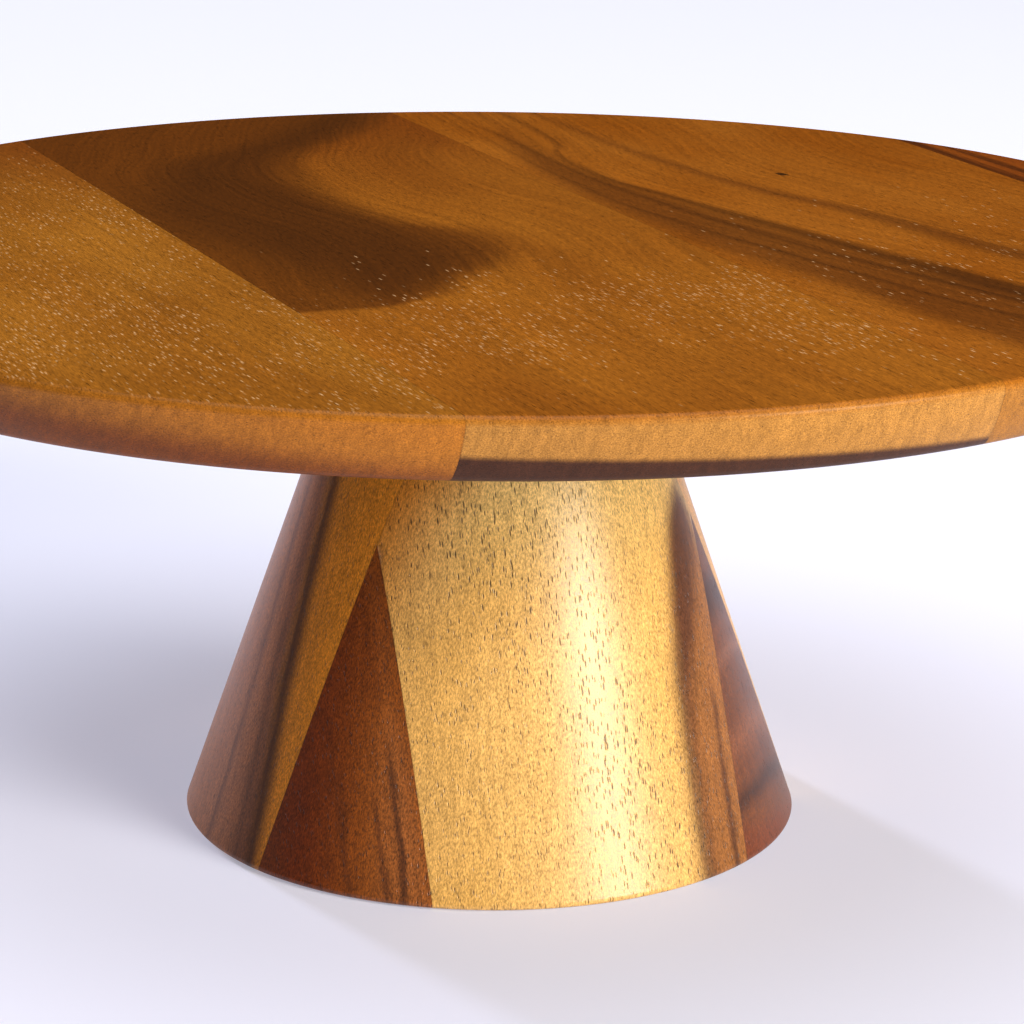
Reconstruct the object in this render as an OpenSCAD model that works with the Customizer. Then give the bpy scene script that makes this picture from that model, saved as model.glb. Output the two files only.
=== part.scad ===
// Round wooden cake stand: an edge-glued plate on a laminated, tapered pedestal.
// +Z is up, +Y runs along the plate's boards, and the origin is the middle of the
// footprint, on the table. All sizes are in millimetres.

/* [Plate] */
// Diameter of the plate at its widest
plate_d = 305; // [290:1:330]
// Thickness of the plate
plate_t = 13; // [12:0.5:18]
// Radius of the round along the top edge
top_round = 1.5; // [0.5:0.1:2.5]
// Radius of the round between the rim and the underside
under_round = 4; // [2:0.5:5]
// How far the rim leans in towards the underside, in degrees
rim_lean = 27; // [0:1:35]
// Glue line between the left and the centre board
joint_left = -62.4; // [-90:0.1:-30]
// Glue line between the centre and the right board
joint_right = 33; // [25:0.1:60]
// Glue line between the right and the edge board
joint_edge = 132.5; // [100:0.1:140]

/* [Pedestal] */
// Height from the table to the plate's underside
pedestal_h = 110; // [104:1:130]
// Diameter of the cone at its foot
foot_d = 129; // [125:1:160]
// Diameter of the cone where it meets the plate
neck_d = 53; // [50:1:70]
// Width of the chamfer round the foot
foot_chamfer = 0.8; // [0.4:0.1:2]
// Half the width of the centre blocks in the front and rear layers
side_joint = 34.5; // [30:0.5:40]
// Half the depth of the middle layer
layer_joint = 23.5; // [20:0.5:26]

/* [Bolt] */
// Length of the bolt under its head
bolt_l = 100; // [95:1:100]
// Diameter of the bolt's shank, over the thread
bolt_d = 6; // [5:1:6]
// Diameter of the bolt's head
head_d = 10; // [9:0.5:11]
// Height of the bolt's head
head_h = 6; // [5:0.5:6]
// Width across the flats of the hexagon socket
socket_w = 5; // [4:1:5]
// Depth of the hexagon socket
socket_depth = 3; // [2:0.5:3.5]
// Length of bolt that goes into the plate
bolt_in_plate = 8.5; // [6:0.5:9]
// Diameter of the washer
washer_d = 18; // [14:1:18]
// Thickness of the washer
washer_t = 1.5; // [1:0.1:2]
// Diameter of the pocket that the washer and head sit in
counterbore_d = 20; // [19:0.5:24]

/* [Insert and dowels] */
// Diameter of the threaded insert
insert_d = 10; // [9:0.5:12]
// Length of the threaded insert
insert_l = 10; // [9:0.5:10]
// Diameter of a dowel
dowel_d = 8; // [6:1:8]
// Length of a dowel
dowel_l = 30; // [24:1:35]
// Length of dowel that goes into the plate
dowel_in_plate = 8; // [6:0.5:9]
// Distance from the bolt to each dowel
dowel_at = 16; // [14:0.5:17]

/* [Felt pads] */
// Diameter of a pad
pad_d = 14; // [10:1:16]
// Thickness of a pad
pad_t = 1.5; // [1:0.1:2]
// How far a pad stands out of its pocket
pad_proud = 0.3; // [0.2:0.1:0.5]
// Distance from the middle of the foot to each pad
pad_at = 48; // [40:0.5:50]

/* [Hidden] */
$fn = 120;

// Radial clearance round pieces that are pushed or screwed into a hole
fit_gap = 0.05;
// Radial clearance round the bolt in the pedestal
bolt_gap = 0.25;
// Radial clearance round a felt pad in its pocket
pad_gap = 0.2;
// Room left for glue beyond the end of a dowel
glue_room = 1;
// How far a cutting tool starts outside the surface that it cuts
past = 1;

plate_r = plate_d / 2;
foot_r = foot_d / 2;
neck_r = neck_d / 2;
plate_top = pedestal_h + plate_t;
bolt_end = pedestal_h + bolt_in_plate;
head_top = bolt_end - bolt_l;
washer_seat = head_top + washer_t;

GOLDEN = [0.76, 0.50, 0.27];
BROWN = [0.55, 0.33, 0.18];
RED_BROWN = [0.47, 0.24, 0.14];
DARK_BROWN = [0.34, 0.20, 0.13];

// Points on an arc round a centre, from one angle to another
function arc(centre, r, from, to, steps = 8) =
    [for (i = [0:steps])
        let (a = from + (to - from) * i / steps)
        centre + r * [cos(a), sin(a)]];

// Half section of the plate: flat top, small round, leaning rim, larger round, flat underside
function plate_section() =
    let (
        top_centre = [plate_r - top_round, plate_top - top_round],
        rounds = under_round - top_round,
        drop = plate_t - top_round - under_round,
        run = (drop + rounds * sin(rim_lean)) / cos(rim_lean),
        under_x = top_centre.x - rounds * cos(rim_lean) - run * sin(rim_lean),
        under_centre = [under_x, pedestal_h + under_round]
    )
    concat(
        [[0, pedestal_h], [0, plate_top]],
        arc(top_centre, top_round, 90, -rim_lean),
        arc(under_centre, under_round, -rim_lean, -90)
    );

// Half section of the pedestal: a straight cone that stands just clear of the table
function pedestal_section() = [
    [0, pad_proud],
    [foot_r - foot_chamfer, pad_proud],
    [foot_r, pad_proud + foot_chamfer],
    [neck_r, pedestal_h],
    [0, pedestal_h]
];

// A blind or through hole along Z, between two heights
module hole(x, y, d, from, to) {
    translate([x, y, from])
        cylinder(d = d, h = to - from);
}

// One board: the slice of the plate between two glue lines
module plate_board(from, to) {
    intersection() {
        rotate_extrude()
            polygon(plate_section());
        translate([from, -plate_r, pedestal_h])
            cube([to - from, plate_d, plate_t]);
    }
}

// One block: the piece of the cone between four glue lines
module pedestal_block(x_from, x_to, y_from, y_to) {
    intersection() {
        rotate_extrude()
            polygon(pedestal_section());
        translate([x_from, y_from, 0])
            cube([x_to - x_from, y_to - y_from, pedestal_h]);
    }
}

module dowel_hole(x) {
    hole(x, 0, dowel_d + 2 * fit_gap,
         pedestal_h + dowel_in_plate - dowel_l - glue_room,
         pedestal_h + dowel_in_plate + glue_room);
}

module pad_pocket(x, y) {
    hole(x, y, pad_d + 2 * pad_gap, pad_proud - past, pad_t);
}

// Clearance hole for the bolt, with the counterbore that its head and washer sit in
module bolt_hole() {
    hole(0, 0, bolt_d + 2 * bolt_gap, pad_proud, pedestal_h + past);
    hole(0, 0, counterbore_d, pad_proud - past, washer_seat);
}

// One half of the middle layer, which holds the bolt, one dowel and one pad
module middle_block(side) {
    difference() {
        pedestal_block(min(0, side * foot_r), max(0, side * foot_r), -layer_joint, layer_joint);
        bolt_hole();
        dowel_hole(side * dowel_at);
        pad_pocket(side * pad_at, 0);
    }
}

// The centre block of the front or rear layer, which holds one pad
module outer_centre_block(side) {
    difference() {
        pedestal_block(-side_joint, side_joint,
                       min(side * layer_joint, side * foot_r),
                       max(side * layer_joint, side * foot_r));
        pad_pocket(0, side * pad_at);
    }
}

module dowel(x) {
    translate([x, 0, pedestal_h + dowel_in_plate - dowel_l])
        cylinder(d = dowel_d, h = dowel_l);
}

module felt_pad(x, y) {
    translate([x, y, 0])
        cylinder(d = pad_d, h = pad_t);
}

module plate_board_left() {
    color(GOLDEN)
        plate_board(-plate_r, joint_left);
}

module plate_board_centre() {
    color(BROWN)
        difference() {
            plate_board(joint_left, joint_right);
            hole(0, 0, insert_d + 2 * fit_gap, pedestal_h - past, pedestal_h + insert_l);
            dowel_hole(-dowel_at);
            dowel_hole(dowel_at);
        }
}

module plate_board_right() {
    color(GOLDEN)
        plate_board(joint_right, joint_edge);
}

module plate_board_edge() {
    color(RED_BROWN)
        plate_board(joint_edge, plate_r);
}

module pedestal_front_left() {
    color(RED_BROWN)
        pedestal_block(-foot_r, -side_joint, -foot_r, -layer_joint);
}

module pedestal_front_centre() {
    color(GOLDEN)
        outer_centre_block(-1);
}

module pedestal_front_right() {
    color(DARK_BROWN)
        pedestal_block(side_joint, foot_r, -foot_r, -layer_joint);
}

module pedestal_middle_left() {
    color(BROWN)
        middle_block(-1);
}

module pedestal_middle_right() {
    color(GOLDEN)
        middle_block(1);
}

module pedestal_rear_left() {
    color(BROWN)
        pedestal_block(-foot_r, -side_joint, layer_joint, foot_r);
}

module pedestal_rear_centre() {
    color(GOLDEN)
        outer_centre_block(1);
}

module pedestal_rear_right() {
    color(RED_BROWN)
        pedestal_block(side_joint, foot_r, layer_joint, foot_r);
}

// Socket-head bolt, pushed up from below, its thread as a plain cylinder
module bolt() {
    color("silver")
        difference() {
            union() {
                hole(0, 0, bolt_d, head_top - past, bolt_end);
                hole(0, 0, head_d, head_top - head_h, head_top);
            }
            translate([0, 0, head_top - head_h - past])
                cylinder(d = socket_w / cos(30), h = socket_depth + past, $fn = 6);
        }
}

module washer() {
    color("silver")
        difference() {
            hole(0, 0, washer_d, head_top, washer_seat);
            hole(0, 0, bolt_d + 2 * bolt_gap, head_top - past, washer_seat + past);
        }
}

module threaded_insert() {
    color("goldenrod")
        difference() {
            hole(0, 0, insert_d, pedestal_h, pedestal_h + insert_l);
            hole(0, 0, bolt_d + 2 * fit_gap, pedestal_h - past, pedestal_h + insert_l + past);
        }
}

module dowel_left() {
    color("burlywood")
        dowel(-dowel_at);
}

module dowel_right() {
    color("burlywood")
        dowel(dowel_at);
}

module felt_pad_left() {
    color("dimgray")
        felt_pad(-pad_at, 0);
}

module felt_pad_right() {
    color("dimgray")
        felt_pad(pad_at, 0);
}

module felt_pad_front() {
    color("dimgray")
        felt_pad(0, -pad_at);
}

module felt_pad_rear() {
    color("dimgray")
        felt_pad(0, pad_at);
}

plate_board_left();
plate_board_centre();
plate_board_right();
plate_board_edge();
pedestal_front_left();
pedestal_front_centre();
pedestal_front_right();
pedestal_middle_left();
pedestal_middle_right();
pedestal_rear_left();
pedestal_rear_centre();
pedestal_rear_right();
bolt();
washer();
threaded_insert();
dowel_left();
dowel_right();
felt_pad_left();
felt_pad_right();
felt_pad_front();
felt_pad_rear();
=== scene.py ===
import math

import bmesh
import bpy
from mathutils import Matrix, Vector


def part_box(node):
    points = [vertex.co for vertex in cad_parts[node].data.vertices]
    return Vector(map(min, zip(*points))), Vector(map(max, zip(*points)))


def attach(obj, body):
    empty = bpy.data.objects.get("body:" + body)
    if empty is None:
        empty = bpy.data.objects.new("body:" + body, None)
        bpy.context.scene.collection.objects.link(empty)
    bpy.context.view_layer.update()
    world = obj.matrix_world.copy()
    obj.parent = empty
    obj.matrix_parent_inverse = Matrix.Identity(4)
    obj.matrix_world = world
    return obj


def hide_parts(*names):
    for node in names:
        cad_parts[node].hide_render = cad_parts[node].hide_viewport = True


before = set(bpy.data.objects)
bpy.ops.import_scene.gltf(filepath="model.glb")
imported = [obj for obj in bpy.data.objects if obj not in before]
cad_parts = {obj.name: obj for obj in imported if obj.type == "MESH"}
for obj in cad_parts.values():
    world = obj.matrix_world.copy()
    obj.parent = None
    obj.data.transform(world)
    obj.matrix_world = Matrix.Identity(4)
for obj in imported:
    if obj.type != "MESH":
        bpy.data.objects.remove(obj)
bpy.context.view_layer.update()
mm = 0.001
print("frame loaded:", len(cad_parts), "nodes")


def toLinear(hexColour):
    # sRGB hex to the linear RGBA that shader sockets take
    channels = [int(hexColour[i:i + 2], 16) / 255 for i in (0, 2, 4)]
    return [c / 12.92 if c <= 0.04045 else ((c + 0.055) / 1.055) ** 2.4 for c in channels] + [1]


def addNode(tree, kind, inputs=(), out=0, **settings):
    # inputs maps a socket's name or number to a value or to another node's output
    node = tree.nodes.new("ShaderNode" + kind)
    for name, value in settings.items():
        setattr(node, name, value)
    for socket, value in dict(inputs).items():
        if isinstance(value, bpy.types.NodeSocket):
            tree.links.new(value, node.inputs[socket])
        else:
            node.inputs[socket].default_value = value
    return node.outputs[out]


def newMaterial(name):
    material = bpy.data.materials.new(name)
    material.use_nodes = True
    material.node_tree.nodes.clear()
    return material


def finishMaterial(material, shader):
    output = material.node_tree.nodes.new("ShaderNodeOutputMaterial")
    material.node_tree.links.new(shader, output.inputs["Surface"])
    return material


# sanded and oiled acacia: open pores like short pencil dashes, fine fibres between them,
# growth lines that follow the trunk's bend, and a satin sheen
acaciaGrain = {
    "turn": (90, 0, 0),            # degrees: puts X across the board, Y into it, Z along its grain
    "span": (-170, 170),           # mm along the grain that the curves below cover
    "flow": [(-160, 0), (160, 0)],
    "sway": (3, 3, 12),            # mm that the figure wanders
    "feather": 2.0,                # mm that stripes fray at their edges
    "patch": (24, 24, 60),         # mm, like the next three: across, into and along the grain
    "streak": (1.2, 3.0, 60),
    "fibre": (0.25, 0.25, 2.5),    # a real one is about a tenth as wide: drawn coarse so that it shows
    "pore": (0.5, 0.5, 7),         # from one pore to the next
    "streakShade": 0.2,
    "fibreShade": 0.32,
    "fibreHeight": 0.012,          # mm
    "poreSize": 0.2,               # a pore's radius as a share of the way to the next
    "poreShade": 0.35,
    "poreDepth": 0.05,             # mm
    "coarse": None,                # where the pores are larger and darker
    "glint": None,                 # how likely a painted glint is in the top face, as a curve along it
    # the colour of the painted glints: pale flecks where light sparkles off the pores
    "glintColour": "DEBB92",
    "fleck": (0.6, 1.5, 3.2),      # mm from one painted glint to the next
    "fleckEdge": (0.12, 0.38),     # where a fleck starts to fade and is gone, as a share of that
    "fleckBright": (0.15, 0.7),
    "fleckDepth": (0.05, 0.4),     # mm below the top face over which the flecks stop
    "bands": [],
    "seams": [],                   # glue lines, as (axis, place in mm)
    "seamEdge": (0.05, 0.2),       # mm from a glue line where its shade starts and ends
    "seamShade": 0.25,
    "rim": None,                   # a paler tone below the top face, on the rim and the underside
    "rimEdge": (0.2, 2.0),         # mm of depth over which it comes in
    "rimShare": 0.75,
    "roughness": 0.4,
    "ior": 1.5,
    "specular": 0.22,
}


def curve(tree, value, points, span):
    # a smooth curve through listed (along, height) points
    low, high = span
    heights = [height for along, height in points]
    floorLevel, ceiling = min(heights) - 1, max(heights) + 1
    place = addNode(tree, "MapRange", {0: value, 1: low, 2: high, 3: 0.0, 4: 1.0})
    bent = addNode(tree, "FloatCurve", {"Factor": 1.0, "Value": place})
    mapping = bent.node.mapping
    line = mapping.curves[0]
    shape = [((along - low) / (high - low), (height - floorLevel) / (ceiling - floorLevel))
             for along, height in sorted(points)]
    line.points[0].location = shape[0]
    line.points[1].location = shape[-1]
    for x, y in shape[1:-1]:
        line.points.new(x, y)
    mapping.extend = "HORIZONTAL"
    mapping.update()
    return addNode(tree, "MapRange", {0: bent, 1: 0.0, 2: 1.0, 3: floorLevel, 4: ceiling}, clamp=False)


def band(tree, across, along, depth, stripe, span):
    # a stripe of other wood; it ends where its half width falls below nothing
    middle = curve(tree, along, stripe["middle"], span)
    half = curve(tree, along, stripe["half"], span)
    spread = stripe.get("spread", 0.0)
    half = addNode(tree, "Math", {0: depth, 1: spread, 2: half}, operation="MULTIPLY_ADD")
    off = addNode(tree, "Math", {0: across, 1: middle}, operation="SUBTRACT")
    off = addNode(tree, "Math", {0: off}, operation="ABSOLUTE")
    inside = addNode(tree, "Math", {0: half, 1: off}, operation="SUBTRACT")
    return addNode(tree, "MapRange", {0: inside, 1: -stripe["soft"], 2: stripe["soft"],
                                      3: 0.0, 4: stripe["strength"]}, interpolation_type="SMOOTHSTEP")


def perSide(sizes):
    # turns sizes in mm into the scale that makes each of them one unit
    return [1 / size for size in sizes]


def timber(name, wood, top=0.0):
    # top is the height in mm from which stripes that spread with depth are measured
    w = {**acaciaGrain, **wood}
    material = newMaterial(name)
    tree = material.node_tree
    span = w["span"]
    turn = [math.radians(a) for a in w["turn"]]
    spot = addNode(tree, "TexCoord", out="Object")
    spot = addNode(tree, "VectorMath", {0: spot, "Scale": 1 / mm}, operation="SCALE")
    x, y, height = addNode(tree, "SeparateXYZ", {0: spot}).node.outputs
    depth = addNode(tree, "Math", {0: top, 1: height}, operation="SUBTRACT")
    place = addNode(tree, "Mapping", {"Vector": spot, "Rotation": turn})

    # the whole figure wanders a little, as a trunk does
    wide = addNode(tree, "VectorMath", {0: place, 1: perSide(w["patch"])}, operation="MULTIPLY")
    sway = addNode(tree, "TexNoise", {"Vector": wide, "Scale": 1.0, "Detail": 2.0}, out="Color")
    sway = addNode(tree, "VectorMath", {0: sway, 1: (0.5, 0.5, 0.5)}, operation="SUBTRACT")
    swung = addNode(tree, "VectorMath", {0: sway, 1: w["sway"], 2: place}, operation="MULTIPLY_ADD")
    across, deep, along = addNode(tree, "SeparateXYZ", {0: swung}).node.outputs

    # growth lines: thin streaks that follow the flow of the grain
    flow = curve(tree, along, w["flow"], span)
    ring = addNode(tree, "Math", {0: across, 1: flow}, operation="SUBTRACT")
    lines = addNode(tree, "CombineXYZ", {0: ring, 1: deep, 2: along})
    lines = addNode(tree, "VectorMath", {0: lines, 1: perSide(w["streak"])}, operation="MULTIPLY")
    streak = addNode(tree, "TexNoise", {"Vector": lines, "Scale": 1.0, "Detail": 4.0, "Roughness": 0.6})
    frayed = addNode(tree, "MapRange", {0: streak, 1: 0.0, 2: 1.0, 3: -w["feather"], 4: w["feather"]})
    frayed = addNode(tree, "Math", {0: across, 1: frayed}, operation="ADD")

    # broad colour: two tones of the wood in patches, then its bands; a few of them are painted shade and
    # one is painted light
    tone = addNode(tree, "TexNoise", {"Vector": wide, "Scale": 0.9, "Detail": 3.0})
    tone = addNode(tree, "MapRange", {0: tone, 1: 0.35, 2: 0.65})
    colour = addNode(tree, "Mix", {0: tone, 6: toLinear(w["base"]), 7: toLinear(w["base2"])},
                     out=2, data_type="RGBA")
    if w["rim"]:
        start, end = w["rimEdge"]
        below = addNode(tree, "MapRange", {0: depth, 1: start, 2: end, 3: 0.0, 4: w["rimShare"]})
        colour = addNode(tree, "Mix", {0: below, 6: colour, 7: toLinear(w["rim"])},
                         out=2, data_type="RGBA")
    for stripe in w["bands"]:
        ways = (along, frayed) if stripe.get("level") else (frayed, along)
        mask = band(tree, *ways, depth, stripe, stripe.get("span", span))
        colour = addNode(tree, "Mix", {0: mask, 6: colour, 7: toLinear(stripe["colour"])},
                         out=2, data_type="RGBA")

    # fine fibres
    fine = addNode(tree, "VectorMath", {0: place, 1: perSide(w["fibre"])}, operation="MULTIPLY")
    fibre = addNode(tree, "TexNoise", {"Vector": fine, "Scale": 1.0, "Detail": 2.0, "Roughness": 0.6})

    # pores: slim hollows along the grain, each of its own size, crowded in some places
    poreAt = addNode(tree, "VectorMath", {0: swung, 1: perSide(w["pore"])}, operation="MULTIPLY")
    cell = addNode(tree, "TexVoronoi", {"Vector": poreAt, "Scale": 1.0}).node
    chance = addNode(tree, "SeparateColor", {0: cell.outputs["Color"]}).node.outputs
    size = addNode(tree, "MapRange", {0: chance[0], 1: 0.0, 2: 1.0, 3: w["poreSize"] * 0.6,
                                      4: w["poreSize"] * 1.1})
    poreShade = w["poreShade"]
    if w["coarse"]:
        coarse = band(tree, across, along, depth, w["coarse"], span)
        grown = addNode(tree, "MapRange", {0: coarse, 3: 1.0, 4: w["coarse"]["size"]})
        size = addNode(tree, "Math", {0: size, 1: grown}, operation="MULTIPLY")
        poreShade = addNode(tree, "MapRange", {0: coarse, 3: w["poreShade"], 4: w["coarse"]["shade"]})
    share = addNode(tree, "Math", {0: cell.outputs["Distance"], 1: size}, operation="DIVIDE")
    pore = addNode(tree, "MapRange", {0: share, 1: 0.6, 2: 1.3, 3: 1.0, 4: 0.0},
                   interpolation_type="SMOOTHSTEP")

    # shade the colour by streak, fibre and pore
    shade = addNode(tree, "MapRange", {0: streak, 1: 0.3, 2: 0.7, 3: 1 - w["streakShade"],
                                       4: 1 + w["streakShade"] * 0.6})
    thread = addNode(tree, "MapRange", {0: fibre, 1: 0.3, 2: 0.7, 3: 1 - w["fibreShade"],
                                        4: 1 + w["fibreShade"]})
    hole = addNode(tree, "Math", {0: pore, 1: poreShade}, operation="MULTIPLY")
    hole = addNode(tree, "Math", {0: 1.0, 1: hole}, operation="SUBTRACT")
    shade = addNode(tree, "Math", {0: shade, 1: thread}, operation="MULTIPLY")
    shade = addNode(tree, "Math", {0: shade, 1: hole}, operation="MULTIPLY")
    for axis, at in w["seams"]:
        start, end = w["seamEdge"]
        gap = addNode(tree, "Math", {0: x if axis == "x" else y, 1: at}, operation="SUBTRACT")
        gap = addNode(tree, "Math", {0: gap}, operation="ABSOLUTE")
        glue = addNode(tree, "MapRange", {0: gap, 1: start, 2: end, 3: 1 - w["seamShade"], 4: 1.0})
        shade = addNode(tree, "Math", {0: shade, 1: glue}, operation="MULTIPLY")
    colour = addNode(tree, "VectorMath", {0: colour, "Scale": shade}, operation="SCALE")
    # painted glints: pale flecks in the top face, where light sparkles off the pores
    if w["glint"]:
        much = curve(tree, along, w["glint"], span)
        patch = addNode(tree, "TexNoise", {"Vector": wide, "Scale": 2.1, "Detail": 2.0})
        patch = addNode(tree, "MapRange", {0: patch, 1: 0.42, 2: 0.58, 3: 0.25, 4: 1.0})
        much = addNode(tree, "Math", {0: much, 1: patch}, operation="MULTIPLY")
        fleck = addNode(tree, "VectorMath", {0: swung, 1: perSide(w["fleck"])}, operation="MULTIPLY")
        fleck = addNode(tree, "TexVoronoi", {"Vector": fleck, "Scale": 1.0}).node
        chance = addNode(tree, "SeparateColor", {0: fleck.outputs["Color"]}).node.outputs
        lucky = addNode(tree, "Math", {0: chance[1], 1: much}, operation="LESS_THAN")
        start, end = w["fleckEdge"]
        glintMask = addNode(tree, "MapRange", {0: fleck.outputs["Distance"], 1: start, 2: end, 3: 1.0, 4: 0.0})
        glintMask = addNode(tree, "Math", {0: glintMask, 1: lucky}, operation="MULTIPLY")
        dimmest, brightest = w["fleckBright"]
        bright = addNode(tree, "MapRange", {0: chance[2], 3: dimmest, 4: brightest})
        glintMask = addNode(tree, "Math", {0: glintMask, 1: bright}, operation="MULTIPLY")
        start, end = w["fleckDepth"]
        onTop = addNode(tree, "MapRange", {0: depth, 1: start, 2: end, 3: 1.0, 4: 0.0})
        glintMask = addNode(tree, "Math", {0: glintMask, 1: onTop}, operation="MULTIPLY")
        colour = addNode(tree, "Mix", {0: glintMask, 6: colour, 7: toLinear(w["glintColour"])},
                         out=2, data_type="RGBA")

    roughness = addNode(tree, "MapRange", {0: fibre, 1: 0.2, 2: 0.8, 3: w["roughness"] - 0.05,
                                           4: w["roughness"] + 0.07})
    relief = addNode(tree, "Math", {0: fibre, 1: w["fibreHeight"]}, operation="MULTIPLY")
    sunk = addNode(tree, "Math", {0: pore, 1: w["poreDepth"]}, operation="MULTIPLY")
    relief = addNode(tree, "Math", {0: relief, 1: sunk}, operation="SUBTRACT")
    normal = addNode(tree, "Bump", {"Strength": 1.0, "Distance": mm, "Height": relief})
    shader = addNode(tree, "BsdfPrincipled", {
        "Base Color": colour, "Roughness": roughness, "IOR": w["ior"],
        "Specular IOR Level": w["specular"], "Normal": normal})
    return finishMaterial(material, shader)


def arc(centre, radius, start, end, steps):
    # points on an arc in the XZ plane, by angle in degrees
    turns = [math.radians(start + (end - start) * i / steps) for i in range(steps + 1)]
    return [(centre[0] + radius * math.cos(a), centre[1] + radius * math.sin(a)) for a in turns]


def turned(points, segments, closed=False):
    # a solid of revolution from its half section, like a piece off a lathe
    bm = bmesh.new()
    verts = [bm.verts.new((x, 0, z)) for x, z in points]
    ends = verts[1:] + verts[:1] if closed else verts[1:]
    for a, b in zip(verts, ends):
        bm.edges.new((a, b))
    bmesh.ops.spin(bm, geom=bm.verts[:] + bm.edges[:], cent=(0, 0, 0), axis=(0, 0, 1),
                   angle=math.radians(360), steps=segments, use_merge=True)
    bmesh.ops.remove_doubles(bm, verts=bm.verts, dist=1e-7)
    bmesh.ops.recalc_face_normals(bm, faces=bm.faces)
    return bm


def sliced(blank, cuts):
    # keeps what lies behind each (point, outward direction) and closes the cut
    bm = blank.copy()
    for point, outward in cuts:
        geom = bm.verts[:] + bm.edges[:] + bm.faces[:]
        cut = bmesh.ops.bisect_plane(bm, geom=geom, dist=1e-7, plane_co=point, plane_no=outward,
                                     clear_outer=True)
        rim = [e for e in cut["geom_cut"] if isinstance(e, bmesh.types.BMEdge)]
        bmesh.ops.edgenet_fill(bm, edges=rim)
    bmesh.ops.recalc_face_normals(bm, faces=bm.faces)
    return bm


def peg(place, radius, low, high, segments=64):
    # a plain closed cylinder that cuts a hole
    bm = turned([(0, low), (radius, low), (radius, high), (0, high)], segments)
    bmesh.ops.translate(bm, verts=bm.verts, vec=place)
    return bm


def newPiece(bm, name):
    mesh = bpy.data.meshes.new(name)
    bm.to_mesh(mesh)
    bm.free()
    piece = bpy.data.objects.new(name, mesh)
    bpy.context.scene.collection.objects.link(piece)
    return piece


def carve(piece, cutters):
    # takes closed shapes out of a piece and keeps the result as its mesh
    tools = [newPiece(bm, "cutter") for bm in cutters]
    for tool in tools:
        modifier = piece.modifiers.new("carve", "BOOLEAN")
        modifier.operation = "DIFFERENCE"
        modifier.solver = "EXACT"
        modifier.object = tool
    evaluated = piece.evaluated_get(bpy.context.evaluated_depsgraph_get())
    mesh = bpy.data.meshes.new_from_object(evaluated)
    piece.modifiers.clear()
    piece.data = mesh
    for tool in tools:
        bpy.data.objects.remove(tool)


def finishPiece(piece, material, node, smoothAngle=40):
    piece.data.materials.clear()
    piece.data.materials.append(material)
    for polygon in piece.data.polygons:
        polygon.use_smooth = True
        polygon.material_index = 0
    piece.data.set_sharp_from_angle(angle=math.radians(smoothAngle))
    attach(piece, "root")
    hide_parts(node)


# the plate is a round of four edge-glued boards; its rim leans in under the top
plate = {
    "topRound": 1.5 * mm,
    "underRound": 4 * mm,
    "leanAbove": 15,             # degrees that the rim leans in, below its top round
    "leanBelow": 39,
    "segments": 288,
    "dowelHole": 4.05 * mm,
    "dowelTop": 119 * mm,
    "insertHole": 5.05 * mm,
}


def plateSection():
    # the rim is three arcs that run into each other: top round, crowned face, under round
    low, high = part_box("plate_board_centre")
    radius, top, under = high[1], high[2], low[2]
    small, large = plate["topRound"], plate["underRound"]
    first, last = math.radians(plate["leanAbove"]), math.radians(plate["leanBelow"])
    face = top - under - small * (1 + math.sin(first)) - large * (1 - math.sin(last))
    crown = face / (math.sin(last) - math.sin(first))
    topX, topZ = radius - small, top - small
    crownX = topX - (crown - small) * math.cos(first)
    crownZ = topZ + (crown - small) * math.sin(first)
    underX = crownX + (crown - large) * math.cos(last)
    edge = 0.3 * mm              # a ring close to each round keeps the flat face flat
    upper = arc((topX, topZ), small, 90, -plate["leanAbove"], 12)
    middle = arc((crownX, crownZ), crown, -plate["leanAbove"], -plate["leanBelow"], 8)
    lower = arc((underX, under + large), large, -plate["leanBelow"], -90, 12)
    return ([(0, top), (topX / 2, top), (topX - edge, top)] + upper + middle[1:] + lower[1:]
            + [(underX - edge, under), (underX / 2, under), (0, under)])
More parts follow.
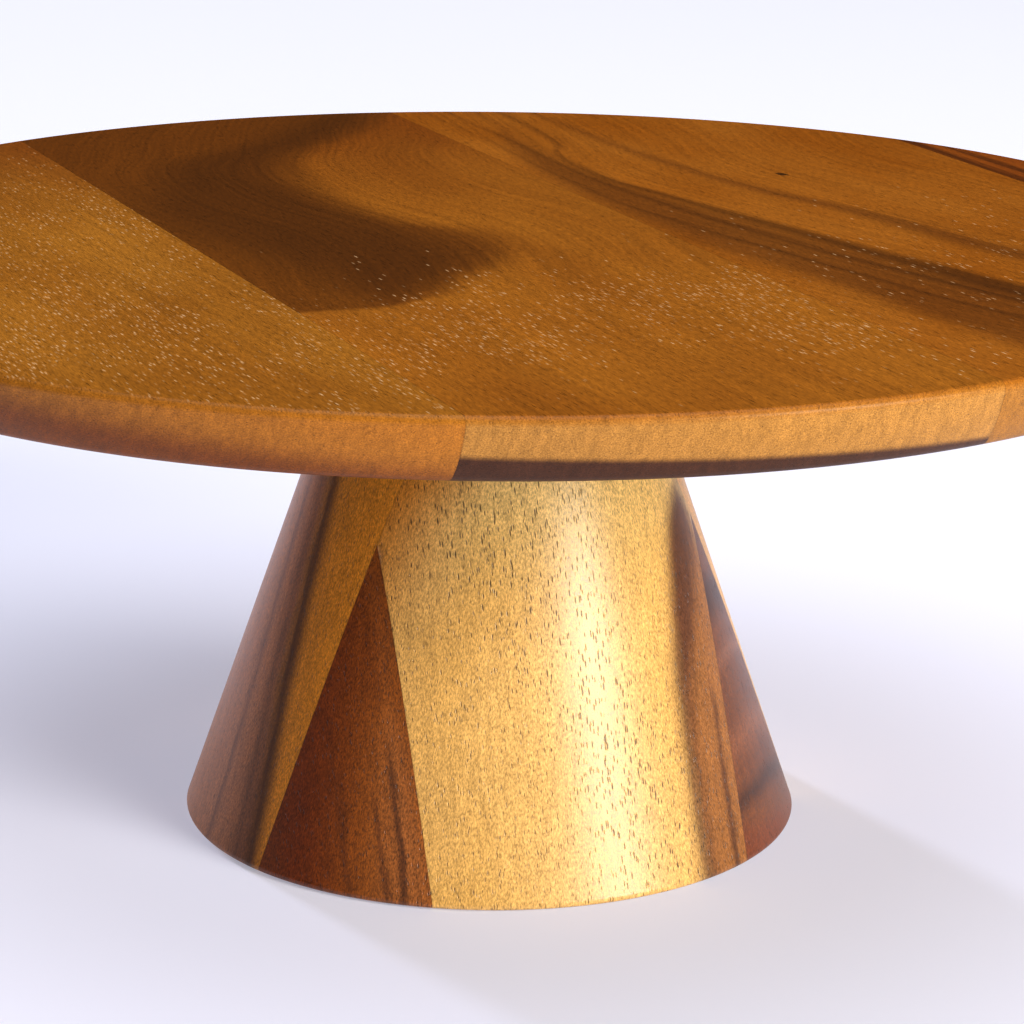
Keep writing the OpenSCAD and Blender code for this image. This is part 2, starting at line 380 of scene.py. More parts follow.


# in each board, (along, across) and (along, half width) points in mm place the heartwood and,
# at the back of the plate, painted shade; a level band lies across the grain, and spread widens
# one for each mm below the top
boards = {
    "plate_board_left": {
        "name": "acaciaPlateGolden",
        "flow": [(-160, 6), (0, 0), (160, -4)],
        "base": "9C6823", "base2": "8E5B1B", "rim": "B4742C",
        "glint": [(-160, 0.5), (-100, 0.9), (-50, 1.0), (0, 0.9), (60, 0.6), (110, 0.2), (160, 0)],
        "bands": [
            # painted shade: this board darker towards the back of the plate, on its top, rim and underside
            {"level": True, "middle": [(-160, 150), (160, 150)], "half": [(-160, 60), (160, 60)],
             "soft": 70, "strength": 0.95, "colour": "764010"},
            {"middle": [(-160, -150), (160, -150)], "spread": 9, "half": [(-160, -13), (160, -13)],
             "soft": 34, "strength": 0.9, "colour": "783C0E"},
        ],
    },
    "plate_board_centre": {
        "name": "acaciaPlateBanded",
        "flow": [(-160, -6), (-50, -4), (0, 2), (60, -6), (110, 6), (160, 30)],
        "base": "99611D", "base2": "8B5517", "rim": "B48444",
        "glint": [(-160, 0), (-120, 0.15), (-100, 0.7), (-72, 0.8), (-52, 0.35), (-35, 0.1), (0, 0),
                  (160, 0)],
        "bands": [
            # painted shade: this board darker towards the back of the plate, on its top, rim and underside
            {"level": True, "middle": [(-160, 150), (160, 150)], "half": [(-160, 70), (160, 70)],
             "soft": 70, "strength": 0.9, "colour": "743E0C"},
            {"middle": [(-60, -54), (-52, -52), (-40, -47), (-25, -41), (-12, -38), (0, -38), (20, -44),
                        (40, -47), (60, -47), (80, -46), (100, -41), (120, -31), (150, -22)],
             "half": [(-66, -12), (-58, 0), (-52, 20), (-40, 26), (-25, 33), (-12, 36), (0, 36), (20, 30),
                      (60, 28), (80, 29), (100, 33), (120, 43), (150, 52)],
             "soft": 8, "strength": 0.85, "colour": "62370C"},
            {"middle": [(-52, -42), (-40, -38), (-20, -32), (0, -34), (20, -39), (40, -41), (60, -39),
                        (80, -33), (100, -22), (122, 2), (150, 24)],
             "half": [(-60, -8), (-52, -2), (-40, 8), (-20, 17), (0, 20), (40, 20), (60, 18), (80, 15),
                      (100, 13), (122, 10), (150, 9)],
             "soft": 11, "strength": 0.85, "colour": "502C0A"},
            {"middle": [(-170, -62), (170, -62)], "spread": 28,
             "half": [(-170, -204), (-140, -210), (-60, -245), (170, -300)],
             "soft": 22, "strength": 0.95, "colour": "42251B"},
        ],
    },
    "plate_board_right": {
        "name": "acaciaPlateStriped",
        "flow": [(-160, 50), (-80, 25), (-34, 15), (0, 8), (26, 4), (56, 0), (92, 6), (160, 14)],
        "base": "985E1C", "base2": "8A500F", "rim": "A47230",
        "glint": [(-160, 0.1), (-60, 0.12), (-20, 0.06), (20, 0), (160, 0)],
        "bands": [
            {"middle": [(-150, 76), (-130, 71), (-100, 63), (-60, 54), (-34, 49), (-4, 45), (26, 42),
                        (56, 41), (80, 43), (120, 52)],
             "half": [(-150, 24), (-130, 21), (-100, 17), (-60, 13), (-34, 12), (-4, 10), (26, 8),
                      (56, 5.5), (80, 3), (120, -1)],
             "soft": 5, "strength": 0.66, "colour": "5A320F"},
            {"middle": [(-140, 92), (-80, 72), (-60, 68), (-34, 62), (-4, 56), (26, 51), (56, 47), (76, 48),
                        (92, 54), (116, 57), (150, 58)],
             "half": [(-140, 5), (-80, 4), (-34, 2.6), (-4, 1.8), (56, 0.6), (150, 0.2)],
             "soft": 2.2, "strength": 0.62, "colour": "341B08"},
            {"middle": [(-140, 84), (-60, 60), (-4, 49), (26, 46), (56, 44), (100, 46)],
             "half": [(-140, 1.5), (-4, 1), (100, 0.3)],
             "soft": 1.4, "strength": 0.45, "colour": "341B08"},
            {"middle": [(-140, 70), (-60, 51), (-4, 41), (26, 38), (56, 38), (100, 41)],
             "half": [(-140, 1.2), (-4, 0.6), (100, 0)],
             "soft": 1.2, "strength": 0.4, "colour": "341B08"},
            {"middle": [(-140, 120), (-60, 92), (0, 80), (26, 73), (60, 68), (120, 66)],
             "half": [(-140, 6), (-60, 4), (0, 2.5), (60, 1.5), (120, 0.5)],
             "soft": 3, "strength": 0.6, "colour": "57300F"},
            {"middle": [(37, 85.7), (43, 85.7)],
             "half": [(36, -1), (38.5, 0.3), (40, 0.7), (41.5, 0.3), (44, -1)],
             "span": (30, 50), "soft": 0.5, "strength": 0.9, "colour": "1C0F07"},
        ],
    },
    "plate_board_edge": {
        "name": "acaciaPlateReddish",
        "flow": [(-160, 8), (0, 0), (160, 8)],
        "base": "8A4C14", "base2": "7A3F10", "rim": "94601F",
        "bands": [
            {"middle": [(-90, 133), (90, 134)], "half": [(-90, 1.5), (90, 1.5)],
             "soft": 1.5, "strength": 0.7, "colour": "371B0A"},
            {"middle": [(-90, 140), (90, 139)], "half": [(-90, 0.8), (90, 0.8)],
             "soft": 0.8, "strength": 0.7, "colour": "371B0A"},
        ],
    },
}

plateBlank = turned(plateSection(), plate["segments"])
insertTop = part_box("threaded_insert")[1][2]
for node, wood in boards.items():
    low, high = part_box(node)
    cuts = []
    seams = []
    if node != "plate_board_left":
        cuts.append(((low[0], 0, 0), (-1, 0, 0)))
        seams.append(("x", low[0] / mm))
    if node != "plate_board_edge":
        cuts.append(((high[0], 0, 0), (1, 0, 0)))
        seams.append(("x", high[0] / mm))
    piece = newPiece(sliced(plateBlank, cuts), node + "_wood")
    if node == "plate_board_centre":
        holes = [peg((0, 0, 0), plate["insertHole"], low[2] - mm, insertTop)]
        for dowel in ("dowel_left", "dowel_right"):
            x = (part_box(dowel)[0][0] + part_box(dowel)[1][0]) / 2
            holes.append(peg((x, 0, 0), plate["dowelHole"], low[2] - mm, plate["dowelTop"]))
        carve(piece, holes)
    finishPiece(piece, timber(wood["name"], {**wood, "seams": seams}, top=high[2] / mm), node)
plateBlank.free()
print("plate boards made")

# the pedestal is turned from eight glued blocks, with a counterbore for the bolt's head
pedestal = {
    "footRadius": 64.5 * mm,
    "neckRadius": 26.5 * mm,
    "chamfer": 0.8 * mm,
    "counterbore": 10 * mm,
    "boltHole": 3.25 * mm,
    "segments": 240,
    "dowelHole": 4.05 * mm,
    "dowelFloor": 87 * mm,
    "pocket": 7.2 * mm,
}


def pedestalSection():
    low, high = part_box("pedestal_middle_left")
    foot, top = low[2], high[2]
    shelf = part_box("washer")[1][2]
    footRadius, neckRadius = pedestal["footRadius"], pedestal["neckRadius"]
    chamfer = pedestal["chamfer"]
    corner = arc((footRadius - chamfer, foot + chamfer), chamfer, -90, 0, 6)
    start = foot + chamfer
    wall = []
    for share in (0.004, 0.3, 0.6, 1):
        wall.append((footRadius + (neckRadius - footRadius) * share, start + (top - start) * share))
    bore = [(pedestal["boltHole"], top), (pedestal["boltHole"], shelf), (pedestal["counterbore"], shelf)]
    return [(pedestal["counterbore"], foot), (footRadius - chamfer - 0.3 * mm, foot)] + corner + wall + bore


# block colours differ most: each came from another stick of the same wood
blocks = {
    "pedestal_front_left": {
        "name": "acaciaBlockReddish",
        "base": "8E500C", "base2": "824608",
        "fibreShade": 0.6,
        "bands": [
            {"middle": [(0, -56), (60, -44)], "half": [(0, 6), (60, 7)],
             "soft": 7, "strength": 0.9, "colour": "702F04"},
            {"middle": [(0, -38), (25, -37), (60, -36)], "half": [(0, 5), (25, 2), (38, -2)],
             "soft": 4, "strength": 0.7, "colour": "965E30"},
            {"middle": [(0, -39.5), (30, -38), (60, -38)], "half": [(0, 0.6), (20, 0.5), (30, -0.6)],
             "soft": 0.6, "strength": 0.75, "colour": "3E1E0C"},
            {"middle": [(0, -42), (60, -41)], "half": [(0, 0.6), (14, 0.3), (24, -0.6)],
             "soft": 0.6, "strength": 0.6, "colour": "4A240E"},
            {"middle": [(0, -48), (60, -45)], "half": [(0, 0.3), (20, 0.3), (36, -0.6)],
             "soft": 0.7, "strength": 0.5, "colour": "4A240E"},
        ],
    },
    "pedestal_front_centre": {
        "name": "acaciaBlockGolden",
        "base": "D2A866", "base2": "CCA05A",
        "poreShade": 0.6,
        "coarse": {"middle": [(0, 13), (20, 10), (50, -5), (70, -14), (110, -20)],
                   "half": [(0, 9), (20, 11), (50, 12), (70, 18), (110, 20)],
                   "soft": 10, "strength": 1.0, "size": 1.3, "shade": 0.8},
        "bands": [
            # painted light: a pale band over the top of the block, lifting the shadow that the plate casts
            # on it
            {"level": True, "middle": [(-40, 90), (40, 90)], "half": [(-40, 12), (40, 12)],
             "span": (-40, 40), "soft": 25, "strength": 1.0, "colour": "F8D890"},
            # painted shade: darker orange at the block's upper left, widening towards the top, for the
            # key's falloff and the plate's shadow
            {"middle": [(0, -37), (50, -35), (65, -34), (80, -28), (95, -21), (110, -13)],
             "half": [(0, -9), (45, -6), (58, 0), (68, 5), (80, 8), (110, 10)],
             "soft": 9, "strength": 1.0, "colour": "C8842A"},
            {"middle": [(0, 31), (50, 30), (110, 31)],
             "half": [(0, 7.5), (45, 7), (65, 4), (78, -4), (110, -9)],
             "soft": 2, "strength": 0.85, "colour": "7C4822"},
            {"middle": [(0, 23.5), (30, 22.5), (50, 26), (75, 30), (110, 31)],
             "half": [(0, 2.2), (30, 2.2), (50, 4), (65, 4.5), (78, -2), (110, -9)],
             "soft": 3, "strength": 0.75, "colour": "43241A"},
            {"middle": [(0, 31.5), (40, 31)], "half": [(0, 0.9), (25, 0.6), (40, -1)],
             "soft": 0.8, "strength": 0.7, "colour": "43261A"},
        ],
    },
    "pedestal_front_right": {
        "name": "acaciaBlockDark", "turn": (0, 0, -50),
        "base": "6E4020", "base2": "5A321A",
        "bands": [
            {"level": True, "middle": [(-20, 31), (-5, 38), (5, 38), (20, 28)],
             "half": [(-20, 1.2), (20, 1.2)], "span": (-30, 30),
             "soft": 2, "strength": 0.6, "colour": "83553A"},
            {"level": True, "middle": [(-20, 44), (-5, 50), (5, 50), (20, 40)], "half": [(-20, 4), (20, 4)],
             "span": (-30, 30), "soft": 3, "strength": 0.7, "colour": "2C1B15"},
            {"level": True, "middle": [(-20, 16), (-5, 22), (5, 22), (20, 14)],
             "half": [(-20, 2.5), (20, 2.5)], "span": (-30, 30),
             "soft": 3, "strength": 0.5, "colour": "8A5636"},
            {"level": True, "middle": [(-20, 8), (-5, 12), (5, 12), (20, 6)],
             "half": [(-20, 1.5), (20, 1.5)], "span": (-30, 30),
             "soft": 2, "strength": 0.7, "colour": "2C1B15"},
            {"level": True, "middle": [(-20, 1), (20, 1)], "half": [(-20, 5), (20, 3)],
             "span": (-30, 30), "soft": 2.5, "strength": 0.6, "colour": "70371E"},
        ],
    },
    "pedestal_middle_left": {
        "name": "acaciaBlockBrown", "turn": (0, 0, -107),
        # base tones: the block's own brown, lifted and greyed in part as painted sheen from the low lamp
        # behind
        "base": "A66C42", "base2": "9A6038",
        "bands": [
            {"middle": [(0, -13), (20, -11), (45, -8), (110, -7)], "half": [(0, 12), (110, 14)],
             "soft": 2, "strength": 0.95, "colour": "D08A26"},
            {"middle": [(0, -1.6), (20, 0.2), (45, 2.6), (70, 4), (110, 5)], "half": [(0, 2.2), (110, 1.8)],
             "soft": 2.2, "strength": 0.88, "colour": "401C06"},
            {"middle": [(0, 3), (20, 5), (45, 7.4), (110, 9.5)], "half": [(0, 1.6), (110, 1.2)],
             "soft": 2.5, "strength": 0.65, "colour": "5A3418"},
            {"middle": [(0, 16.5), (20, 14.5), (60, 14.6), (110, 15)], "half": [(0, 0.8), (110, 0.6)],
             "soft": 1.2, "strength": 0.6, "colour": "5A3422"},
        ],
    },
    "pedestal_middle_right": {
        "name": "acaciaBlockPale", "turn": (0, 0, 107),
        "base": "D2A45E", "base2": "C6934B",
    },
    "pedestal_rear_left": {
        "name": "acaciaBlockRearBrown", "turn": (0, 0, 40),
        "base": "8A5526", "base2": "7A481E",
        "bands": [
            {"middle": [(0, -6), (110, -2)], "half": [(0, 2.5), (110, 1)],
             "soft": 2, "strength": 0.7, "colour": "3A2012"},
        ],
    },
    "pedestal_rear_centre": {
        "name": "acaciaBlockRearGolden", "turn": (0, 0, 180),
        "base": "C2873E", "base2": "B57833",
        "coarse": {"middle": [(0, 10), (110, 14)], "half": [(20, -8), (45, 4), (70, 14), (110, 16)],
                   "soft": 8, "strength": 1.0, "size": 1.5, "shade": 0.75},
        "bands": [
            {"middle": [(0, -26), (50, -27), (110, -24)], "half": [(0, 3), (50, 2), (110, 1)],
             "soft": 2.5, "strength": 0.7, "colour": "6A3E1C"},
            {"middle": [(0, -31), (110, -30)], "half": [(0, 0.8), (110, 0.6)],
             "soft": 0.8, "strength": 0.7, "colour": "43261A"},
        ],
    },
    "pedestal_rear_right": {
        "name": "acaciaBlockRearReddish", "turn": (0, 0, -130),
        "base": "713A16", "base2": "62300F",
        "bands": [
            {"middle": [(0, 4), (110, 2)], "half": [(0, 1.2), (110, 0.8)],
             "soft": 1.2, "strength": 0.7, "colour": "34190B"},
        ],
    },
}
blockGrain = {
    "turn": (0, 0, 0),
    "span": (-10, 120),
    "flow": [(0, 0), (110, 2)],
    "sway": (1.5, 1.5, 6),
    "feather": 1.2,
    "streakShade": 0.18,
    "fibre": (0.28, 0.28, 1.0),
    "fibreShade": 0.42,
    "pore": (0.48, 1.5, 3.2),
    "poreSize": 0.22,
    "poreShade": 0.5,
    "specular": 0.7,
    "roughness": 0.35,
}

pedestalBlank = turned(pedestalSection(), pedestal["segments"], closed=True)
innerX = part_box("pedestal_front_centre")[1][0]
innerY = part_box("pedestal_middle_left")[1][1]
for node, wood in blocks.items():
    low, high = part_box(node)
    holes = []
    if "front" in node:
        cuts = [((0, -innerY, 0), (0, 1, 0))]
    elif "rear" in node:
        cuts = [((0, innerY, 0), (0, -1, 0))]
    else:
        cuts = [((0, innerY, 0), (0, 1, 0)), ((0, -innerY, 0), (0, -1, 0))]
        cuts.append(((0, 0, 0), (1, 0, 0) if "left" in node else (-1, 0, 0)))
        side = -1 if "left" in node else 1
        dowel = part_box("dowel_left" if side < 0 else "dowel_right")
        x = (dowel[0][0] + dowel[1][0]) / 2
        holes.append(peg((x, 0, 0), pedestal["dowelHole"], pedestal["dowelFloor"], high[2] + mm))
    if "middle" not in node:
        if "centre" in node:
            cuts += [((innerX, 0, 0), (1, 0, 0)), ((-innerX, 0, 0), (-1, 0, 0))]
        elif "left" in node:
            cuts.append(((-innerX, 0, 0), (1, 0, 0)))
        else:
            cuts.append(((innerX, 0, 0), (-1, 0, 0)))
    pads = {"pedestal_middle_left": "felt_pad_left", "pedestal_middle_right": "felt_pad_right",
            "pedestal_front_centre": "felt_pad_front", "pedestal_rear_centre": "felt_pad_rear"}
    if node in pads:
        padLow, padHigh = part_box(pads[node])
        place = ((padLow[0] + padHigh[0]) / 2, (padLow[1] + padHigh[1]) / 2, 0)
        holes.append(peg(place, pedestal["pocket"], low[2] - mm, padHigh[2]))
    piece = newPiece(sliced(pedestalBlank, cuts), node + "_wood")
    if holes:
        carve(piece, holes)
    seams = [("y", -innerY / mm), ("y", innerY / mm)]
    if "middle" not in node:
        seams += [("x", -innerX / mm), ("x", innerX / mm)]
    finishPiece(piece, timber(wood["name"], {**blockGrain, **wood, "seams": seams}), node)
pedestalBlank.free()
print("pedestal blocks made")

# turned metal: fine rings left by the tool, under a bright plating or a bare cut
turnedMetals = {
    "zincPlatedSteel": {"colour": "C6CACE", "tint": "BDB9A6", "roughness": 0.3, "ring": 0.12 * mm},
    "turnedBrass": {"colour": "D3AE62", "tint": "BE9448", "roughness": 0.26, "ring": 0.18 * mm},
}


def turnedMetal(name):
    m = turnedMetals[name]
    material = newMaterial(name)
    tree = material.node_tree
    place = addNode(tree, "TexCoord", out="Object")
    flat = addNode(tree, "VectorMath", {0: place, 1: (1, 1, 0)}, operation="MULTIPLY")
    away = addNode(tree, "VectorMath", {0: flat}, operation="LENGTH", out="Value")
    height = addNode(tree, "SeparateXYZ", {0: place}, out=2)
    rings = addNode(tree, "CombineXYZ", {0: away, 1: height})
    rings = addNode(tree, "TexNoise", {"Vector": rings, "Scale": 1 / m["ring"], "Detail": 2.0})
    cloud = addNode(tree, "TexNoise", {"Vector": place, "Scale": 1 / (4 * mm), "Detail": 3.0})
    cloud = addNode(tree, "MapRange", {0: cloud, 1: 0.35, 2: 0.65})
    colour = addNode(tree, "Mix", {0: cloud, 6: toLinear(m["colour"]), 7: toLinear(m["tint"])},
                     out=2, data_type="RGBA")
    roughness = addNode(tree, "MapRange", {0: rings, 1: 0.3, 2: 0.7, 3: m["roughness"] - 0.08,
                                           4: m["roughness"] + 0.12})
    normal = addNode(tree, "Bump", {"Strength": 0.4, "Distance": 0.01 * mm, "Height": rings})
    return finishMaterial(material, addNode(tree, "BsdfPrincipled", {
        "Base Color": colour, "Metallic": 1.0, "Roughness": roughness, "Normal": normal}))


def ridge(inner, outer, half, low, high, pitch, steps=24):
    # a screw thread: a three-sided ridge swept up its helix and closed at both ends
    bm = bmesh.new()
    corners = ((inner, 0, low), (outer, 0, low + half), (inner, 0, low + 2 * half))
    verts = [bm.verts.new(corner) for corner in corners]
    edges = [bm.edges.new((verts[i], verts[(i + 1) % 3])) for i in range(3)]
    count = round((high - low - 2 * half) / pitch * steps)
    bmesh.ops.spin(bm, geom=verts + edges, cent=(0, 0, 0), axis=(0, 0, 1), dvec=(0, 0, pitch / steps),
                   angle=math.radians(360) * count / steps, steps=count)
    bmesh.ops.holes_fill(bm, edges=bm.edges, sides=3)
    bmesh.ops.recalc_face_normals(bm, faces=bm.faces)
    return bm


def joined(first, second):
    # one bmesh from two closed shapes
    extra = bpy.data.meshes.new("extra")
    second.to_mesh(extra)
    second.free()
    first.from_mesh(extra)
    bpy.data.meshes.remove(extra)
    return first


def fluted(bm, radius, low, high, segments, every, share):
    # draws every few columns of a turned side in towards the axis
    for vert in bm.verts:
        column = round(math.atan2(vert.co.y, vert.co.x) / math.radians(360) * segments)
        onSide = abs(vert.co.xy.length - radius) < 0.01 * mm and low < vert.co.z < high
        if onSide and column % every == 0:
            vert.co.xy *= share


# an M6 socket cap bolt: knurled head, hexagon socket, thread at its upper end
bolt = {
    "headRadius": 5 * mm,
    "shank": 3 * mm,
    "core": 2.5 * mm,
    "pitch": 1 * mm,
    "threadLength": 24 * mm,
    "socket": 5 * mm,            # across the flats
    "socketDepth": 3 * mm,
    "knurls": 48,
}
low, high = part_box("bolt")
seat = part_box("washer")[0][2]
threadStart = high[2] - bolt["threadLength"]
headRadius, shank, core = bolt["headRadius"], bolt["shank"], bolt["core"]
section = [
    (0, low[2]), (headRadius - 0.6 * mm, low[2]), (headRadius, low[2] + 0.5 * mm),
    (headRadius, low[2] + 0.9 * mm), (headRadius, seat - 0.6 * mm), (headRadius, seat - 0.2 * mm),
    (headRadius - 0.2 * mm, seat), (shank, seat), (shank, threadStart), (core, threadStart + 0.5 * mm),
    (core, high[2] - 0.6 * mm), (core - 0.6 * mm, high[2]), (0, high[2])]
bm = turned(section, 2 * bolt["knurls"])
fluted(bm, headRadius, low[2] + 0.7 * mm, seat - 0.4 * mm, 2 * bolt["knurls"], 2, 0.96)
piece = newPiece(bm, "bolt_steel")
corner = bolt["socket"] / 2 / math.cos(math.radians(30))
carve(piece, [peg((0, 0, 0), corner, low[2] - mm, low[2] + bolt["socketDepth"], 6)])
bm = bmesh.new()
bm.from_mesh(piece.data)
thread = ridge(core - 0.1 * mm, shank, 0.45 * bolt["pitch"], threadStart + 0.6 * mm,
               high[2] - 0.5 * mm, bolt["pitch"])
joined(bm, thread).to_mesh(piece.data)
bm.free()
zinc = turnedMetal("zincPlatedSteel")
finishPiece(piece, zinc, "bolt", 30)

low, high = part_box("washer")
hole, rim = pedestal["boltHole"], high[0]
section = [
    (hole, low[2]), (rim - 0.2 * mm, low[2]), (rim, low[2] + 0.2 * mm), (rim, high[2] - 0.4 * mm),
    (rim - 0.4 * mm, high[2]), (hole + 0.2 * mm, high[2]), (hole, high[2] - 0.2 * mm)]
finishPiece(newPiece(turned(section, 96, closed=True), "washer_steel"), zinc, "washer", 30)

# a screw-in insert: coarse thread outside, clear bore inside, flange flush with the plate
insert = {"body": 4.2 * mm, "bore": 3.05 * mm, "flange": 0.9 * mm, "pitch": 2 * mm}
low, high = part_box("threaded_insert")
body, bore, edge = insert["body"], insert["bore"], 0.3 * mm
section = [
    (bore + edge, low[2]), (high[0], low[2]), (high[0], low[2] + insert["flange"]),
    (body, low[2] + insert["flange"] + edge), (body, high[2] - edge), (body - edge, high[2]),
    (bore + edge, high[2]), (bore, high[2] - edge), (bore, low[2] + edge)]
thread = ridge(body - 0.1 * mm, high[0] - 0.05 * mm, 0.4 * mm, low[2] + 1.2 * mm,
               high[2] - 0.3 * mm, insert["pitch"])
piece = newPiece(joined(turned(section, 96, closed=True), thread), "threaded_insert_brass")
finishPiece(piece, turnedMetal("turnedBrass"), "threaded_insert", 30)
print("bolt, washer and insert made")

# beech dowels: pale pinkish wood with short brown flecks, pressed flutes and chamfered ends
dowel = {"flutes": 16, "chamfer": 1 * mm, "fluteShare": 0.93}
beechGrain = {
    "turn": (0, 0, 0), "span": (80, 125), "flow": [(80, 0), (125, 0)], "sway": (0.5, 0.5, 2),
    "base": "D9B58C", "base2": "CFA87C", "streakShade": 0.12, "fibreShade": 0.12,
    "fibre": (0.2, 0.2, 2.5), "pore": (0.7, 0.7, 3), "poreSize": 0.18, "poreShade": 0.3,
    "poreDepth": 0.01, "roughness": 0.6,
}
beech = timber("beechDowel", beechGrain)
for node in ("dowel_left", "dowel_right"):
    low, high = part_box(node)
    radius = (high[0] - low[0]) / 2
    cut = dowel["chamfer"]
    section = [
        (0, low[2]), (radius - cut, low[2]), (radius, low[2] + cut), (radius, low[2] + 1.5 * cut),
        (radius, high[2] - 1.5 * cut), (radius, high[2] - cut), (radius - cut, high[2]), (0, high[2])]
    bm = turned(section, 3 * dowel["flutes"])
    fluted(bm, radius, low[2] + 1.2 * cut, high[2] - 1.2 * cut, 3 * dowel["flutes"], 3, dowel["fluteShare"])
    bmesh.ops.translate(bm, verts=bm.verts, vec=((low[0] + high[0]) / 2, 0, 0))
    finishPiece(newPiece(bm, node + "_beech"), beech, node, 30)

# pressed wool felt: matted fibres that lie every way, dull, with a soft pale bloom at its edge
felt = {
    "colour": "57534E",
    "pale": "7C776F",
    "fibre": 0.12,               # mm; real wool is about a quarter of it: drawn coarse so that it shows
    "tuft": 0.9,                 # mm
    "round": 0.4 * mm,
    "roughness": 0.95,
}
wool = newMaterial("pressedWoolFelt")
tree = wool.node_tree
place = addNode(tree, "TexCoord", out="Object")
place = addNode(tree, "VectorMath", {0: place, "Scale": 1 / mm}, operation="SCALE")
fibres = addNode(tree, "TexNoise", {
    "Vector": place, "Scale": 1 / felt["fibre"], "Detail": 3.0, "Distortion": 1.5})
tufts = addNode(tree, "TexNoise", {"Vector": place, "Scale": 1 / felt["tuft"], "Detail": 2.0})
mixed = addNode(tree, "Math", {0: fibres, 1: tufts}, operation="MULTIPLY")
mixed = addNode(tree, "MapRange", {0: mixed, 1: 0.12, 2: 0.4})
colour = addNode(tree, "Mix", {0: mixed, 6: toLinear(felt["colour"]), 7: toLinear(felt["pale"])},
                 out=2, data_type="RGBA")
normal = addNode(tree, "Bump", {"Strength": 0.8, "Distance": 0.08 * mm, "Height": fibres})
finishMaterial(wool, addNode(tree, "BsdfPrincipled", {
    "Base Color": colour, "Roughness": felt["roughness"], "Sheen Weight": 0.4, "Normal": normal}))
for node in ("felt_pad_left", "felt_pad_right", "felt_pad_front", "felt_pad_rear"):
    low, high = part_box(node)
    radius = (high[0] - low[0]) / 2
    lower = arc((radius - felt["round"], low[2] + felt["round"]), felt["round"], -90, 0, 5)
    bm = turned([(0, low[2])] + lower + [(radius, high[2]), (0, high[2])], 64)
    bmesh.ops.translate(bm, verts=bm.verts, vec=((low[0] + high[0]) / 2, (low[1] + high[1]) / 2, 0))
    finishPiece(newPiece(bm, node + "_felt"), wool, node)
print("dowels and felt pads made")

# matt paper: a plain pale floor, with a faint glow of its own so that the shadows on it stay pale
stage = {
    "size": 5,                   # metres along a side
    "level": -0.1 * mm,          # just under the felt, which is at 0
    "colour": "BEC0CE",
    "roughness": 0.9,
    "lit": 0.54,
}
bm = bmesh.new()
bmesh.ops.create_grid(bm, x_segments=1, y_segments=1, size=stage["size"] / 2)
bmesh.ops.translate(bm, verts=bm.verts, vec=(0, 0, stage["level"]))
floor = newPiece(bm, "floor")
paper = newMaterial("palePaper")
floor.data.materials.append(finishMaterial(paper, addNode(paper.node_tree, "BsdfPrincipled", {
    "Base Color": toLinear(stage["colour"]), "Roughness": stage["roughness"],
    "Emission Color": toLinear(stage["colour"]), "Emission Strength": stage["lit"]})))


def pointAt(azimuth, elevation, distance, target):
    # azimuth 0 is in front, on -Y, and grows towards +X
    a, e = math.radians(azimuth), math.radians(elevation)
    level = math.cos(e)
    return target + distance * Vector((math.sin(a) * level, -math.cos(a) * level, math.sin(e)))


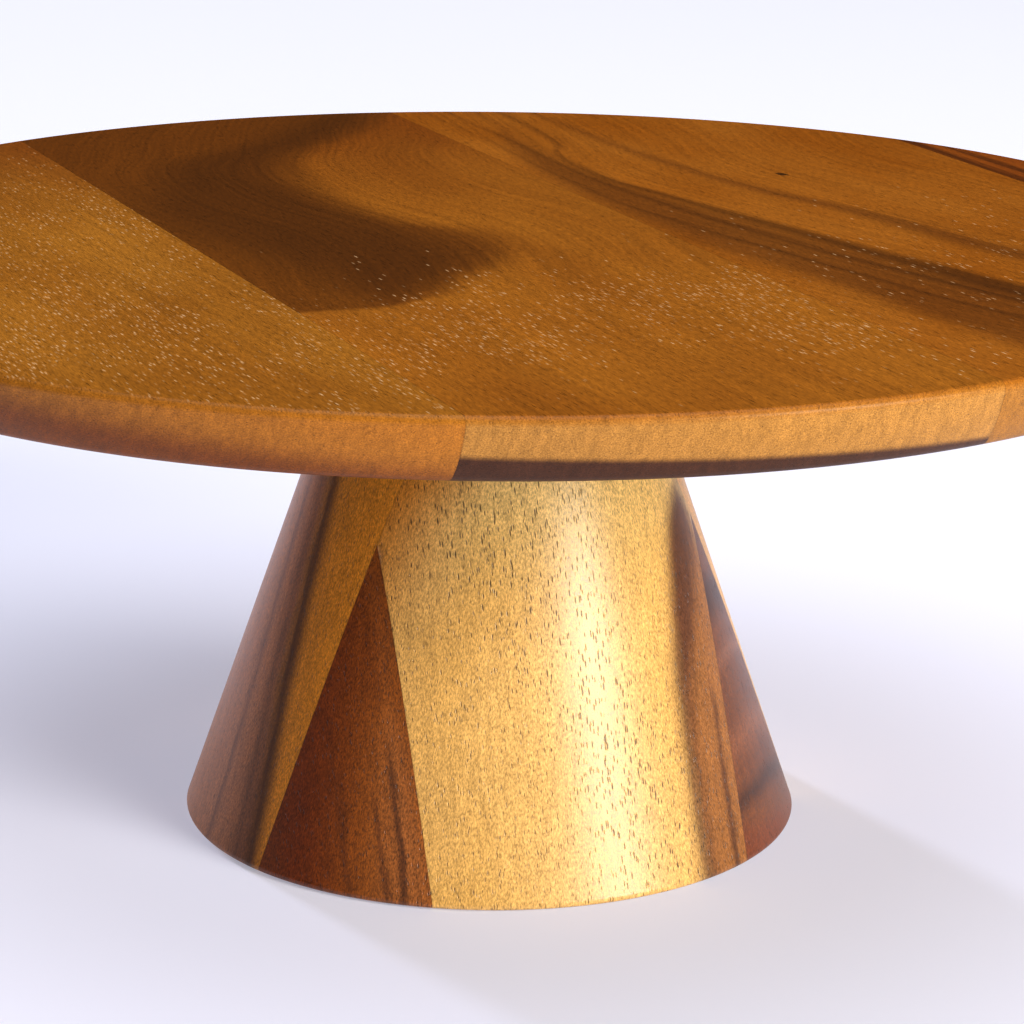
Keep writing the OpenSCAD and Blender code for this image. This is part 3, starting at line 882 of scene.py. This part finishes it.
# a low warm key from the right, in two parts so that its glare stays small, a cool lamp low
# behind, and wide soft boxes
lamps = {
    "keyLamp": {"azimuth": 28, "elevation": 21, "distance": 5, "size": 1.9,
                "power": 170, "colour": "FFFCF6"},
    "keyWash": {"azimuth": 25, "elevation": 17, "distance": 5, "size": 3.2,
                "power": 200, "colour": "FFF5E2", "glossy": False},
    "fillLamp": {"azimuth": -60, "elevation": 24, "distance": 2.2, "size": 1.6,
                 "power": 2, "colour": "FFF8EE"},
    "backLamp": {"azimuth": -169, "elevation": 9, "distance": 6, "size": 0.66,
                 "power": 390, "colour": "E4EAFF", "glossy": False},
    "topLamp": {"azimuth": 0, "elevation": 88, "distance": 2.6, "size": 3.0,
                "power": 49, "colour": "FAFAFF"},
}
target = Vector((0, 0, 0.07))
for name, lamp in lamps.items():
    data = bpy.data.lights.new(name, "AREA")
    data.shape = "DISK"
    data.size = lamp["size"]
    data.energy = lamp["power"]
    data.color = toLinear(lamp["colour"])[:3]
    light = bpy.data.objects.new(name, data)
    light.visible_camera = False
    light.visible_glossy = lamp.get("glossy", True)
    light.location = pointAt(lamp["azimuth"], lamp["elevation"], lamp["distance"], target)
    light.rotation_euler = (light.location - target).to_track_quat("Z", "Y").to_euler()
    bpy.context.scene.collection.objects.link(light)

# the room glows dimly and warmly on the stand, and looks pale behind it
room = {"glow": "A88F70", "glowStrength": 0.14, "seen": "F1F1FA", "seenStrength": 1.3}
world = bpy.data.worlds.new("studio")
bpy.context.scene.world = world
world.use_nodes = True
sky = world.node_tree
sky.nodes.clear()
glow = addNode(sky, "Background", {"Color": toLinear(room["glow"]), "Strength": room["glowStrength"]})
seen = addNode(sky, "Background", {"Color": toLinear(room["seen"]), "Strength": room["seenStrength"]})
ray = addNode(sky, "LightPath", out="Is Camera Ray")
both = addNode(sky, "MixShader", {0: ray, 1: glow, 2: seen})
sky.links.new(both, sky.nodes.new("ShaderNodeOutputWorld").inputs["Surface"])

view = {
    "azimuth": -22.5,            # degrees, all angles
    "distance": 0.7095,          # metres from the stand's axis, over the floor
    "height": 0.2649,
    "down": 15.836,
    "aside": -0.336,
    "roll": 0.621,
    "lens": 123.94,              # mm, on a sensor 36 mm wide
}
camera = bpy.data.objects.new("camera", bpy.data.cameras.new("camera"))
camera.data.sensor_width = 36
camera.data.lens = view["lens"]
facing = math.radians(view["azimuth"])
stand = (view["distance"] * math.sin(facing), -view["distance"] * math.cos(facing), view["height"])
camera.matrix_world = (
    Matrix.Translation(stand)
    @ Matrix.Rotation(facing + math.radians(view["aside"]), 4, "Z")
    @ Matrix.Rotation(math.radians(90 - view["down"]), 4, "X")
    @ Matrix.Rotation(math.radians(view["roll"]), 4, "Z"))
bpy.context.scene.collection.objects.link(camera)
bpy.context.scene.camera = camera
bpy.context.scene.view_settings.view_transform = "Standard"
bpy.context.scene.view_settings.look = "Medium High Contrast"
print("floor, lights and camera ready")
